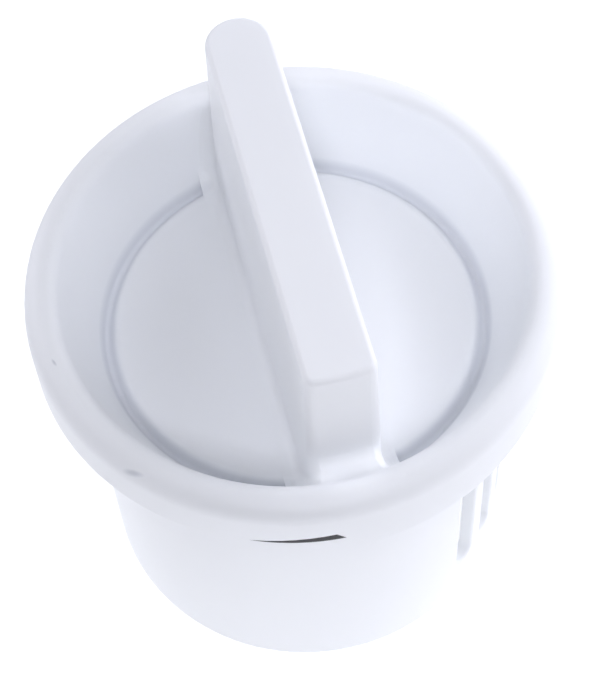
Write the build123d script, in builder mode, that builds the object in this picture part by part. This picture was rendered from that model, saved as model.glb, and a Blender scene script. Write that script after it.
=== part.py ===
"""Lint filter of a washing machine's drain pump: a capped strainer with a bar handle, and its sealing ring.

The filter stands on the open lower end of its strainer tube. Z is the tube's axis, and the bar handle lies along Y.
"""

import os
from math import atan2, ceil, cos, hypot, radians, tan

from build123d import *

# Cap: flange, rolled rim and dished face
rim_diameter = 75.0
rim_height = 62.6
rim_width = 4.4
rim_outer_round = 2.9
rim_inner_round = 1.9
cap_wall = 2.3

# Dish floor, with a groove around it at the foot of the dish wall
dish_wall_run = 5.8
groove_depth = 2.2
groove_round = 0.5
groove_end_gap = 0.8
floor_drop = 12.4
floor_wall = 3.2
floor_cove = 4.0
floor_shoulder = 1.5

# Strainer tube, in from the skirt by the space for the sealing ring
seal_space = 3.9
tube_wall = 2.2
tube_edge_round = 0.6
bore_round = 1.5

# Skirt of the flange, with two locking ramps on its lower edge
skirt_wall = 2.1
skirt_depth = 11.4
skirt_roof = 2.4
ramp_count = 2
ramp_notch_depth = 6.6
ramp_lead_depth = 8.1
ramp_notch_turn = -95.5
ramp_step_turn = 6.7
ramp_lead_turn = 21.0
ramp_section_turn = 12.0

# Bar handle: one end is round, the other nearly square
bar_width = 9.5
bar_height = 18.4
bar_round_inset = 6.5
bar_square_inset = 8.7
bar_end_crown = 0.5
bar_corner_round = 1.4
bar_top_round = 0.8
bar_foot_round = 1.8
bar_draft = 1.0
bar_wall = 2.7
bar_core_round = 1.0

# Strainer slots, in a row on the +X side
slot_count = 10
slot_pitch_turn = 11.6
slot_width = 3.6
slot_bottom = 8.6
slot_top = 38.0
slot_edge_round = 0.4

# Sealing ring, in a shallow seat around the tube
seal_seat_depth = 0.5
seal_drop = 14.4
seal_lip_drop = 6.0
seal_gap = 0.4
seal_round = 1.2

# How far a cutting shape reaches past the face that it cuts, and how near an edge lies to a surface that it is on
overcut = 1.0
edge_margin = 0.01

# Where the turned shapes start and end: on the plain side, away from the slots and the bar handle
seam_turn = 180.0

# Values worked out from the driving dimensions
rim_radius = rim_diameter / 2
lip_radius = rim_radius - rim_width
groove_radius = lip_radius - dish_wall_run
skirt_inner_radius = rim_radius - skirt_wall
tube_radius = skirt_inner_radius - seal_space
tube_bore_radius = tube_radius - tube_wall
seat_radius = tube_radius - seal_seat_depth
floor_height = rim_height - floor_drop
groove_height = floor_height - groove_depth
floor_underside = floor_height - floor_wall
skirt_low = rim_height - skirt_depth
skirt_roof_height = rim_height - skirt_roof
bar_top = rim_height + bar_height
seal_low = rim_height - seal_drop
seal_top = rim_height - seal_lip_drop
bar_round_end = rim_radius - bar_round_inset
bar_square_end = rim_radius - bar_square_inset
cone_rise = rim_height - groove_height
cone_shift = cap_wall / cos(atan2(dish_wall_run, cone_rise))
floor_radius = groove_radius + groove_depth * dish_wall_run / cone_rise
ramp_turn = 360 / ramp_count


def radial_plane(turn):
    """Upright plane through the axis: its x points outwards at the turn, and its y points up."""
    outward = Vector(1, 0, 0).rotate(Axis.Z, turn)
    return Plane(origin=(0, 0, 0), x_dir=outward, z_dir=outward.cross(Vector(0, 0, 1)))


def cone_height(radius):
    """Height of the cone under the cap, which runs parallel to the dish wall, at a radius."""
    return groove_height + (radius - groove_radius - cone_shift) * cone_rise / dish_wall_run


def cone_radius(height):
    """Radius of the cone under the cap at a height."""
    return groove_radius + cone_shift + (height - groove_height) * dish_wall_run / cone_rise


def bar_outline(inset):
    """Plan of the bar handle, drawn in from its top outline by the inset: a round end at +Y, a square one at -Y."""
    half = bar_width / 2 - inset
    far = bar_round_end - bar_width / 2
    near = bar_end_crown + inset - bar_square_end
    with BuildSketch() as outline:
        with BuildLine():
            Line((half, near), (half, far))
            ThreePointArc((half, far), (0, far + half), (-half, far))
            Line((-half, far), (-half, near))
            ThreePointArc((-half, near), (0, near - bar_end_crown), (half, near))
        make_face()
        fillet(outline.vertices().group_by(Axis.Y)[0], max(bar_corner_round - inset, bar_core_round))
    return outline.sketch


def on_tube(edge):
    """Whether an edge lies on the outside of the tube."""
    points = [edge.position_at(share) for share in (0, 0.5, 1)]
    return all(abs(hypot(point.X, point.Y) - tube_radius) < edge_margin for point in points)


seat_height = cone_height(seat_radius)

# Relief of one locking ramp: up by a steep step, down by a short lead, then a long even fall along the skirt
ramp_fall_turn = ramp_turn - ramp_step_turn - ramp_lead_turn
ramp_fall_steps = ceil(ramp_fall_turn / ramp_section_turn)
ramp_edge = [(ramp_step_turn, skirt_depth), (0, ramp_notch_depth), (-ramp_lead_turn, ramp_lead_depth)]
for step in range(1, ramp_fall_steps + 1):
    share = step / ramp_fall_steps
    depth = ramp_lead_depth + share * (skirt_depth - ramp_lead_depth)
    ramp_edge.append((-ramp_lead_turn - share * ramp_fall_turn, depth))

with BuildPart() as ramp_relief:
    for turn, depth in ramp_edge:
        relief_height = skirt_depth + overcut - depth
        with BuildSketch(radial_plane(ramp_notch_turn + turn)):
            with Locations((rim_radius - skirt_wall / 2, rim_height - depth - relief_height / 2)):
                Rectangle(skirt_wall + 2 * overcut, relief_height)
    loft(ruled=True)

# Cutting shape of one strainer slot
with BuildPart() as slot_cut:
    with BuildSketch(Plane.YZ):
        with Locations((0, (slot_bottom + slot_top) / 2)):
            SlotOverall(slot_top - slot_bottom, slot_width, rotation=90)
    extrude(amount=tube_radius + overcut)

# Groove around the dish floor, which stops short of the bar handle's foot
bar_rise = bar_top - floor_underside
bar_spread = bar_rise * tan(radians(bar_draft))
with BuildPart() as groove_cut:
    with BuildSketch(radial_plane(seam_turn)):
        with BuildLine():
            FilletPolyline(
                (floor_radius - floor_cove, floor_height),
                (groove_radius - floor_shoulder, floor_height),
                (groove_radius, groove_height),
                (floor_radius + floor_cove * dish_wall_run / cone_rise, floor_height + floor_cove),
                (floor_radius - floor_cove, floor_height + floor_cove),
                radius=[0, floor_shoulder, groove_round, 0, 0],
                close=True,
            )
        make_face()
    revolve(axis=Axis.Z)
    with BuildSketch(Plane.XY.offset(floor_underside)):
        Rectangle(bar_width + 2 * (bar_spread + bar_foot_round + groove_end_gap), rim_diameter)
    extrude(amount=bar_rise, mode=Mode.SUBTRACT)

with BuildPart() as body:
    # Cap blank: a drum with the rolled rim, the dish wall and the floor turned into its top
    with BuildSketch(radial_plane(seam_turn)):
        with BuildLine():
            FilletPolyline(
                (0, 0),
                (rim_radius, 0),
                (rim_radius, rim_height),
                (lip_radius, rim_height),
                (floor_radius, floor_height),
                (0, floor_height),
                radius=[0, 0, rim_outer_round, rim_inner_round, floor_cove, 0],
                close=True,
            )
        make_face()
    revolve(axis=Axis.Z)

    # Bar handle, drafted down to a rounded foot in the dish
    with BuildSketch(Plane.XY.offset(floor_underside)):
        add(bar_outline(-bar_spread))
    extrude(amount=bar_rise, taper=bar_draft)
    foot_edges = body.edges(Select.LAST).filter_by_position(Axis.Z, groove_height, rim_height)
    fillet(foot_edges, bar_foot_round)
    fillet(body.faces().sort_by(Axis.Z)[-1].edges(), bar_top_round)
    add(groove_cut.part, mode=Mode.SUBTRACT)

    # Hollow between the skirt and the tube, closed above by the cone under the cap
    with BuildSketch(radial_plane(seam_turn)):
        with BuildLine():
            Polyline(
                (tube_radius, -overcut),
                (tube_radius, seal_low),
                (seat_radius, seal_low),
                (seat_radius, seat_height),
                (cone_radius(skirt_roof_height), skirt_roof_height),
                (skirt_inner_radius, skirt_roof_height),
                (skirt_inner_radius, skirt_low),
                (rim_radius + overcut, skirt_low),
                (rim_radius + overcut, -overcut),
                close=True,
            )
        make_face()
    revolve(axis=Axis.Z, mode=Mode.SUBTRACT)

    # Bore of the tube up to the floor, and the core of the bar handle above it
    with BuildSketch(radial_plane(seam_turn)):
        with BuildLine():
            FilletPolyline(
                (0, -overcut),
                (tube_bore_radius, -overcut),
                (tube_bore_radius, floor_underside),
                (0, floor_underside),
                radius=[0, 0, bore_round, 0],
                close=True,
            )
        make_face()
    revolve(axis=Axis.Z, mode=Mode.SUBTRACT)
    core_rise = bar_rise - bar_wall
    with BuildSketch(Plane.XY.offset(floor_underside)):
        add(bar_outline(bar_wall - core_rise * tan(radians(bar_draft))))
    extrude(amount=core_rise, taper=bar_draft, mode=Mode.SUBTRACT)

    # Locking ramps and strainer slots
    with PolarLocations(0, ramp_count):
        add(ramp_relief.part, mode=Mode.SUBTRACT)
    slot_row_turn = (slot_count - 1) * slot_pitch_turn
    with PolarLocations(0, slot_count, -slot_row_turn / 2, slot_row_turn, endpoint=True):
        add(slot_cut.part, mode=Mode.SUBTRACT)

    # Rounded outer edges of the slots, and of the tube's mouth
    slot_edges = body.edges().filter_by(on_tube).filter_by_position(Axis.Z, slot_bottom, slot_top)
    fillet(slot_edges, slot_edge_round)
    fillet(body.edges().group_by(Axis.Z)[0], tube_edge_round)

with BuildPart() as seal:
    with BuildSketch(radial_plane(seam_turn)):
        with BuildLine():
            FilletPolyline(
                (seat_radius, seal_low),
                (skirt_inner_radius - seal_gap, seal_low),
                (skirt_inner_radius - seal_gap, seal_top),
                (cone_radius(seal_top), seal_top),
                (seat_radius, seat_height),
                radius=[0, seal_round, 0, 0, 0],
                close=True,
            )
        make_face()
    revolve(axis=Axis.Z)

os.makedirs("parts", exist_ok=True)
body.part.label = "filter_body"
export_step(body.part, "parts/filter_body.step")
seal.part.label = "sealing_ring"
export_step(seal.part, "parts/sealing_ring.step")
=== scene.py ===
"""Lint filter of a drain pump: satin white moulding and black sealing ring, in a pale studio."""

import math

import bpy
import numpy as np
from mathutils import Matrix, Vector

MM = 0.001

# Camera, from the shape of the rim, the tube's foot and the bar handle in the picture
CAMERA_AZIMUTH = -10.652
CAMERA_ELEVATION = 59.22
CAMERA_ROLL = -4.27
CAMERA_DISTANCE = 281.75 * MM
CAMERA_AIM = (0.57 * MM, 1.03 * MM, 40.0 * MM)
CAMERA_LENS = 98.32
CAMERA_SENSOR = 36.0
CAMERA_NEAR = 0.01
CAMERA_FAR = 50.0

# Studio: a floor that glows around the filter, and soft lights all round at one distance from it
FLOOR_SIZE = 6.0
FLOOR_COLOUR = (0.93, 0.935, 0.95, 1.0)
FLOOR_ROUGHNESS = 0.8
FLOOR_GLOW = 0.52
FLOOR_GLOW_REACH = 0.13
FLOOR_GLOW_END = 0.24
SKY_COLOUR = (0.97, 0.98, 1.0, 1.0)
SKY_STRENGTH = 0.06
LIGHT_AIM = (0.0, 0.0, 45.0 * MM)
LIGHT_DISTANCE = 0.7
LIGHT_COLOUR = (0.985, 0.995, 1.085)
BROAD_LIGHT = 0.35
MIDDLE_LIGHT = 0.25
FRONT_LIGHT = 0.14
OVERHEAD_LIGHT = 0.12

# White moulding: its two nearly equal whites, its gloss and the light that spreads inside it
WHITE_DIM = (0.92, 0.935, 0.955, 1.0)
WHITE_BRIGHT = (0.94, 0.955, 0.972, 1.0)
WHITE_CLOUD_SCALE = 55.0
WHITE_CLOUD_LOW = 0.3
WHITE_CLOUD_HIGH = 0.7
WHITE_SMOOTH = 0.42
WHITE_ROUGH = 0.52
WHITE_GRAIN_SCALE = 2600.0
WHITE_GRAIN_DEPTH = 0.05 * MM
WHITE_IOR = 1.49
WHITE_SPREAD = 1.5 * MM

# Black rubber
RUBBER_DARK = (0.012, 0.012, 0.013, 1.0)
RUBBER_PALE = (0.032, 0.032, 0.034, 1.0)
RUBBER_SKIN_SCALE = 900.0
RUBBER_SKIN_DEPTH = 0.1 * MM
RUBBER_ROUGHNESS = 0.62

# Painted shade in the groove around the dish floor, which darkens the colour where the crease lies in shade:
# the ring that it follows, and how far it reaches from it
GROOVE_RADIUS = 27.2 * MM
GROOVE_HEIGHT = 49.3 * MM
GROOVE_PAINTED_SHADE_CORE = 0.5 * MM
GROOVE_PAINTED_SHADE_REACH = 1.7 * MM
GROOVE_PAINTED_SHADE = 0.4
GROOVE_PAINTED_SHADE_COLOUR = (0.56, 0.58, 0.64, 1.0)

# Nicks in the rim: place, turn about Z in degrees, half length, half width
NICK_REACH_DOWN = 1.2 * MM
NICK_STRENGTH = 0.6
NICK_CORE = 0.4
NICK_EDGE = 1.4
NICK_COLOUR = (0.56, 0.58, 0.62, 1.0)
NICK_DEPTH = 0.1 * MM
NICKS = (
    ((-34.5 * MM, -5.6 * MM, 62.6 * MM), -70.0, 0.55 * MM, 0.17 * MM),
    ((-27.6 * MM, -24.3 * MM, 61.6 * MM), -36.0, 1.3 * MM, 0.28 * MM),
)


def set_inputs(node, **values):
    """Sets a node's input sockets by name; an underscore in a keyword stands for a space."""
    for name, value in values.items():
        node.inputs[name.replace("_", " ")].default_value = value


def link(tree, source, target):
    """Joins an output socket to an input socket."""
    tree.links.new(source, target)


def new_material(name):
    """New material with one Principled shader: returns the material, its tree and the shader."""
    material = bpy.data.materials.new(name)
    material.use_nodes = True
    tree = material.node_tree
    tree.nodes.clear()
    output = tree.nodes.new("ShaderNodeOutputMaterial")
    shader = tree.nodes.new("ShaderNodeBsdfPrincipled")
    link(tree, shader.outputs["BSDF"], output.inputs["Surface"])
    return material, tree, shader


def grain_group():
    """Shared effect: a noise over the Object coordinates, given as a height and as the normal that it bends."""
    group = bpy.data.node_groups.new("fine_grain", "ShaderNodeTree")
    for name in ("Scale", "Detail", "Strength", "Depth"):
        group.interface.new_socket(name, in_out="INPUT", socket_type="NodeSocketFloat")
    group.interface.new_socket("Height", in_out="OUTPUT", socket_type="NodeSocketFloat")
    group.interface.new_socket("Normal", in_out="OUTPUT", socket_type="NodeSocketVector")
    given = group.nodes.new("NodeGroupInput")
    result = group.nodes.new("NodeGroupOutput")
    place = group.nodes.new("ShaderNodeTexCoord")
    noise = group.nodes.new("ShaderNodeTexNoise")
    link(group, place.outputs["Object"], noise.inputs["Vector"])
    link(group, given.outputs["Scale"], noise.inputs["Scale"])
    link(group, given.outputs["Detail"], noise.inputs["Detail"])
    bump = group.nodes.new("ShaderNodeBump")
    link(group, given.outputs["Strength"], bump.inputs["Strength"])
    link(group, given.outputs["Depth"], bump.inputs["Distance"])
    link(group, noise.outputs["Fac"], bump.inputs["Height"])
    link(group, noise.outputs["Fac"], result.inputs["Height"])
    link(group, bump.outputs["Normal"], result.inputs["Normal"])
    return group


def add_grain(tree, **values):
    """Adds the shared grain to a material's tree, with its own scale, detail, strength and depth."""
    grain = tree.nodes.new("ShaderNodeGroup")
    grain.node_tree = bpy.data.node_groups.get("fine_grain") or grain_group()
    set_inputs(grain, **values)
    return grain


def nick_mask(tree, place, centre, turn, half_length, half_width):
    """Mask of one nick: full inside a narrow ellipse that lies on the surface, fading out at its edge."""
    local = tree.nodes.new("ShaderNodeMapping")
    local.vector_type = "TEXTURE"
    set_inputs(
        local,
        Location=centre,
        Rotation=(0.0, 0.0, math.radians(turn)),
        Scale=(half_length, half_width, NICK_REACH_DOWN),
    )
    link(tree, place, local.inputs["Vector"])
    away = tree.nodes.new("ShaderNodeVectorMath")
    away.operation = "LENGTH"
    link(tree, local.outputs["Vector"], away.inputs[0])
    fade = tree.nodes.new("ShaderNodeMapRange")
    set_inputs(fade, From_Min=NICK_CORE, From_Max=NICK_EDGE, To_Min=NICK_STRENGTH, To_Max=0.0)
    link(tree, away.outputs["Value"], fade.inputs["Value"])
    return fade.outputs["Result"]


def groove_painted_shade_mask(tree, place):
    """Mask of the painted shade in the groove: strongest along a level ring, fading out with the distance from
    it.
    """
    parts = tree.nodes.new("ShaderNodeSeparateXYZ")
    link(tree, place, parts.inputs["Vector"])
    level = tree.nodes.new("ShaderNodeCombineXYZ")
    link(tree, parts.outputs["X"], level.inputs["X"])
    link(tree, parts.outputs["Y"], level.inputs["Y"])
    radius = tree.nodes.new("ShaderNodeVectorMath")
    radius.operation = "LENGTH"
    link(tree, level.outputs["Vector"], radius.inputs[0])
    section = tree.nodes.new("ShaderNodeCombineXYZ")
    link(tree, radius.outputs["Value"], section.inputs["X"])
    link(tree, parts.outputs["Z"], section.inputs["Y"])
    away = tree.nodes.new("ShaderNodeVectorMath")
    away.operation = "DISTANCE"
    away.inputs[1].default_value = (GROOVE_RADIUS, GROOVE_HEIGHT, 0.0)
    link(tree, section.outputs["Vector"], away.inputs[0])
    fade = tree.nodes.new("ShaderNodeMapRange")
    set_inputs(
        fade,
        From_Min=GROOVE_PAINTED_SHADE_CORE,
        From_Max=GROOVE_PAINTED_SHADE_REACH,
        To_Min=GROOVE_PAINTED_SHADE,
        To_Max=0.0,
    )
    link(tree, away.outputs["Value"], fade.inputs["Value"])
    return fade.outputs["Result"]


def moulded_white():
    """Satin white polypropylene: faintly cloudy, finely grained, with painted shade in the groove and nicked in
    the rim.
    """
    material, tree, shader = new_material("moulded_white")
    place = tree.nodes.new("ShaderNodeTexCoord").outputs["Object"]
    cloud = tree.nodes.new("ShaderNodeTexNoise")
    set_inputs(cloud, Scale=WHITE_CLOUD_SCALE, Detail=4.0, Roughness=0.55)
    link(tree, place, cloud.inputs["Vector"])
    tint = tree.nodes.new("ShaderNodeValToRGB")
    tint.color_ramp.elements[0].position = WHITE_CLOUD_LOW
    tint.color_ramp.elements[0].color = WHITE_DIM
    tint.color_ramp.elements[1].position = WHITE_CLOUD_HIGH
    tint.color_ramp.elements[1].color = WHITE_BRIGHT
    link(tree, cloud.outputs["Fac"], tint.inputs["Fac"])
    gloss = tree.nodes.new("ShaderNodeMapRange")
    set_inputs(gloss, To_Min=WHITE_SMOOTH, To_Max=WHITE_ROUGH)
    link(tree, cloud.outputs["Fac"], gloss.inputs["Value"])
    link(tree, gloss.outputs["Result"], shader.inputs["Roughness"])
    grain = add_grain(tree, Scale=WHITE_GRAIN_SCALE, Detail=2.0, Strength=0.05, Depth=WHITE_GRAIN_DEPTH)
    # Painted shade: the crease of the groove is darkened in the base colour, standing in for the shade that
    # falls there
    groove_painted_shade = tree.nodes.new("ShaderNodeMixRGB")
    set_inputs(groove_painted_shade, Color2=GROOVE_PAINTED_SHADE_COLOUR)
    link(tree, groove_painted_shade_mask(tree, place), groove_painted_shade.inputs["Fac"])
    link(tree, tint.outputs["Color"], groove_painted_shade.inputs["Color1"])
    colour = groove_painted_shade.outputs["Color"]
    normal = grain.outputs["Normal"]
    for nick in NICKS:
        mask = nick_mask(tree, place, *nick)
        worn = tree.nodes.new("ShaderNodeMixRGB")
        set_inputs(worn, Color2=NICK_COLOUR)
        link(tree, mask, worn.inputs["Fac"])
        link(tree, colour, worn.inputs["Color1"])
        dent = tree.nodes.new("ShaderNodeBump")
        dent.invert = True
        set_inputs(dent, Strength=0.3, Distance=NICK_DEPTH)
        link(tree, mask, dent.inputs["Height"])
        link(tree, normal, dent.inputs["Normal"])
        colour = worn.outputs["Color"]
        normal = dent.outputs["Normal"]
    link(tree, colour, shader.inputs["Base Color"])
    link(tree, normal, shader.inputs["Normal"])
    set_inputs(
        shader,
        IOR=WHITE_IOR,
        Subsurface_Weight=0.25,
        Subsurface_Radius=(1.0, 1.0, 1.05),
        Subsurface_Scale=WHITE_SPREAD,
    )
    return material


def black_rubber():
    """Matt black rubber with a fine uneven skin."""
    material, tree, shader = new_material("black_rubber")
    skin = add_grain(tree, Scale=RUBBER_SKIN_SCALE, Detail=3.0, Strength=0.15, Depth=RUBBER_SKIN_DEPTH)
    tint = tree.nodes.new("ShaderNodeValToRGB")
    tint.color_ramp.elements[0].color = RUBBER_DARK
    tint.color_ramp.elements[1].color = RUBBER_PALE
    link(tree, skin.outputs["Height"], tint.inputs["Fac"])
    link(tree, tint.outputs["Color"], shader.inputs["Base Color"])
    link(tree, skin.outputs["Normal"], shader.inputs["Normal"])
    set_inputs(shader, Roughness=RUBBER_ROUGHNESS)
    return material


def dress(node, material):
    """Puts one material on a node of the frame."""
    node.data.materials.clear()
    node.data.materials.append(material)


def add_camera():
    """Camera on a sphere round its aim, by azimuth, elevation and roll."""
    azimuth, elevation = math.radians(CAMERA_AZIMUTH), math.radians(CAMERA_ELEVATION)
    back = Vector((
        math.sin(azimuth) * math.cos(elevation),
        -math.cos(azimuth) * math.cos(elevation),
        math.sin(elevation),
    ))
    data = bpy.data.cameras.new("camera")
    data.lens = CAMERA_LENS
    data.sensor_width = CAMERA_SENSOR
    data.clip_start = CAMERA_NEAR
    data.clip_end = CAMERA_FAR
    camera = bpy.data.objects.new("camera", data)
    turn = back.to_track_quat("Z", "Y").to_matrix().to_4x4()
    roll = Matrix.Rotation(math.radians(CAMERA_ROLL), 4, "Z")
    camera.matrix_world = Matrix.Translation(Vector(CAMERA_AIM) + back * CAMERA_DISTANCE) @ turn @ roll
    bpy.context.scene.collection.objects.link(camera)
    bpy.context.scene.camera = camera


def add_floor():
    """Plain pale floor: a flat square of four corners, lit through from below around the filter."""
    half = FLOOR_SIZE / 2
    corners = np.array([(-half, -half, 0), (half, -half, 0), (half, half, 0), (-half, half, 0)])
    mesh = bpy.data.meshes.new("floor")
    mesh.from_pydata(corners.tolist(), [], [(0, 1, 2, 3)])
    floor = bpy.data.objects.new("floor", mesh)
    bpy.context.scene.collection.objects.link(floor)
    material, tree, shader = new_material("pale_floor")
    set_inputs(
        shader,
        Base_Color=FLOOR_COLOUR,
        Roughness=FLOOR_ROUGHNESS,
        Emission_Color=FLOOR_COLOUR,
    )
    away = tree.nodes.new("ShaderNodeVectorMath")
    away.operation = "LENGTH"
    link(tree, tree.nodes.new("ShaderNodeTexCoord").outputs["Object"], away.inputs[0])
    glow = tree.nodes.new("ShaderNodeMapRange")
    set_inputs(glow, From_Min=FLOOR_GLOW_REACH, From_Max=FLOOR_GLOW_END, To_Min=FLOOR_GLOW, To_Max=0.0)
    link(tree, away.outputs["Value"], glow.inputs["Value"])
    link(tree, glow.outputs["Result"], shader.inputs["Emission Strength"])
    mesh.materials.append(material)


def add_soft_light(name, azimuth, elevation, size, power):
    """Square area light that faces the filter; azimuth 0 is in front of it at -Y, and 90 is to its right."""
    around, above = math.radians(azimuth), math.radians(elevation)
    outward = Vector((
        math.sin(around) * math.cos(above),
        -math.cos(around) * math.cos(above),
        math.sin(above),
    ))
    data = bpy.data.lights.new(name, "AREA")
    data.shape = "SQUARE"
    data.size = size
    data.energy = power
    data.color = LIGHT_COLOUR
    lamp = bpy.data.objects.new(name, data)
    turn = outward.to_track_quat("Z", "Y").to_matrix().to_4x4()
    lamp.matrix_world = Matrix.Translation(Vector(LIGHT_AIM) + outward * LIGHT_DISTANCE) @ turn
    bpy.context.scene.collection.objects.link(lamp)


def add_sky():
    """Even pale light from all round."""
    world = bpy.data.worlds.new("studio")
    world.use_nodes = True
    background = world.node_tree.nodes["Background"]
    set_inputs(background, Color=SKY_COLOUR, Strength=SKY_STRENGTH)
    bpy.context.scene.world = world


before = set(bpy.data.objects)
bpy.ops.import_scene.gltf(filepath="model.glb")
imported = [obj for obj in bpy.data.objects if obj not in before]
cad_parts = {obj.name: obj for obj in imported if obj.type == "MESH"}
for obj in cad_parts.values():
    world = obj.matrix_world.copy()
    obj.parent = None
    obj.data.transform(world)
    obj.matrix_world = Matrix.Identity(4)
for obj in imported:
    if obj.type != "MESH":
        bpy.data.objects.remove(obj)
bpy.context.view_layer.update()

dress(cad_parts["filter_body"], moulded_white())
dress(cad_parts["sealing_ring"], black_rubber())

bpy.context.scene.view_settings.view_transform = "Standard"
add_camera()
add_floor()
add_sky()
add_soft_light("overhead_light", azimuth=0, elevation=90, size=OVERHEAD_LIGHT, power=0.06)
add_soft_light("front_high_light", azimuth=0, elevation=65, size=MIDDLE_LIGHT, power=0.6)
add_soft_light("front_light", azimuth=-10, elevation=48, size=FRONT_LIGHT, power=1.1)
add_soft_light("front_right_light", azimuth=45, elevation=40, size=BROAD_LIGHT, power=0.35)
add_soft_light("right_high_light", azimuth=90, elevation=65, size=MIDDLE_LIGHT, power=0.2)
add_soft_light("right_low_light", azimuth=90, elevation=25, size=BROAD_LIGHT, power=1.9)
add_soft_light("back_right_light", azimuth=135, elevation=40, size=BROAD_LIGHT, power=0.7)
add_soft_light("back_right_low_light", azimuth=135, elevation=15, size=BROAD_LIGHT, power=1.3)
add_soft_light("back_left_light", azimuth=225, elevation=40, size=BROAD_LIGHT, power=0.5)
add_soft_light("back_left_low_light", azimuth=225, elevation=15, size=BROAD_LIGHT, power=1.5)
add_soft_light("front_left_low_light", azimuth=300, elevation=15, size=BROAD_LIGHT, power=0.35)
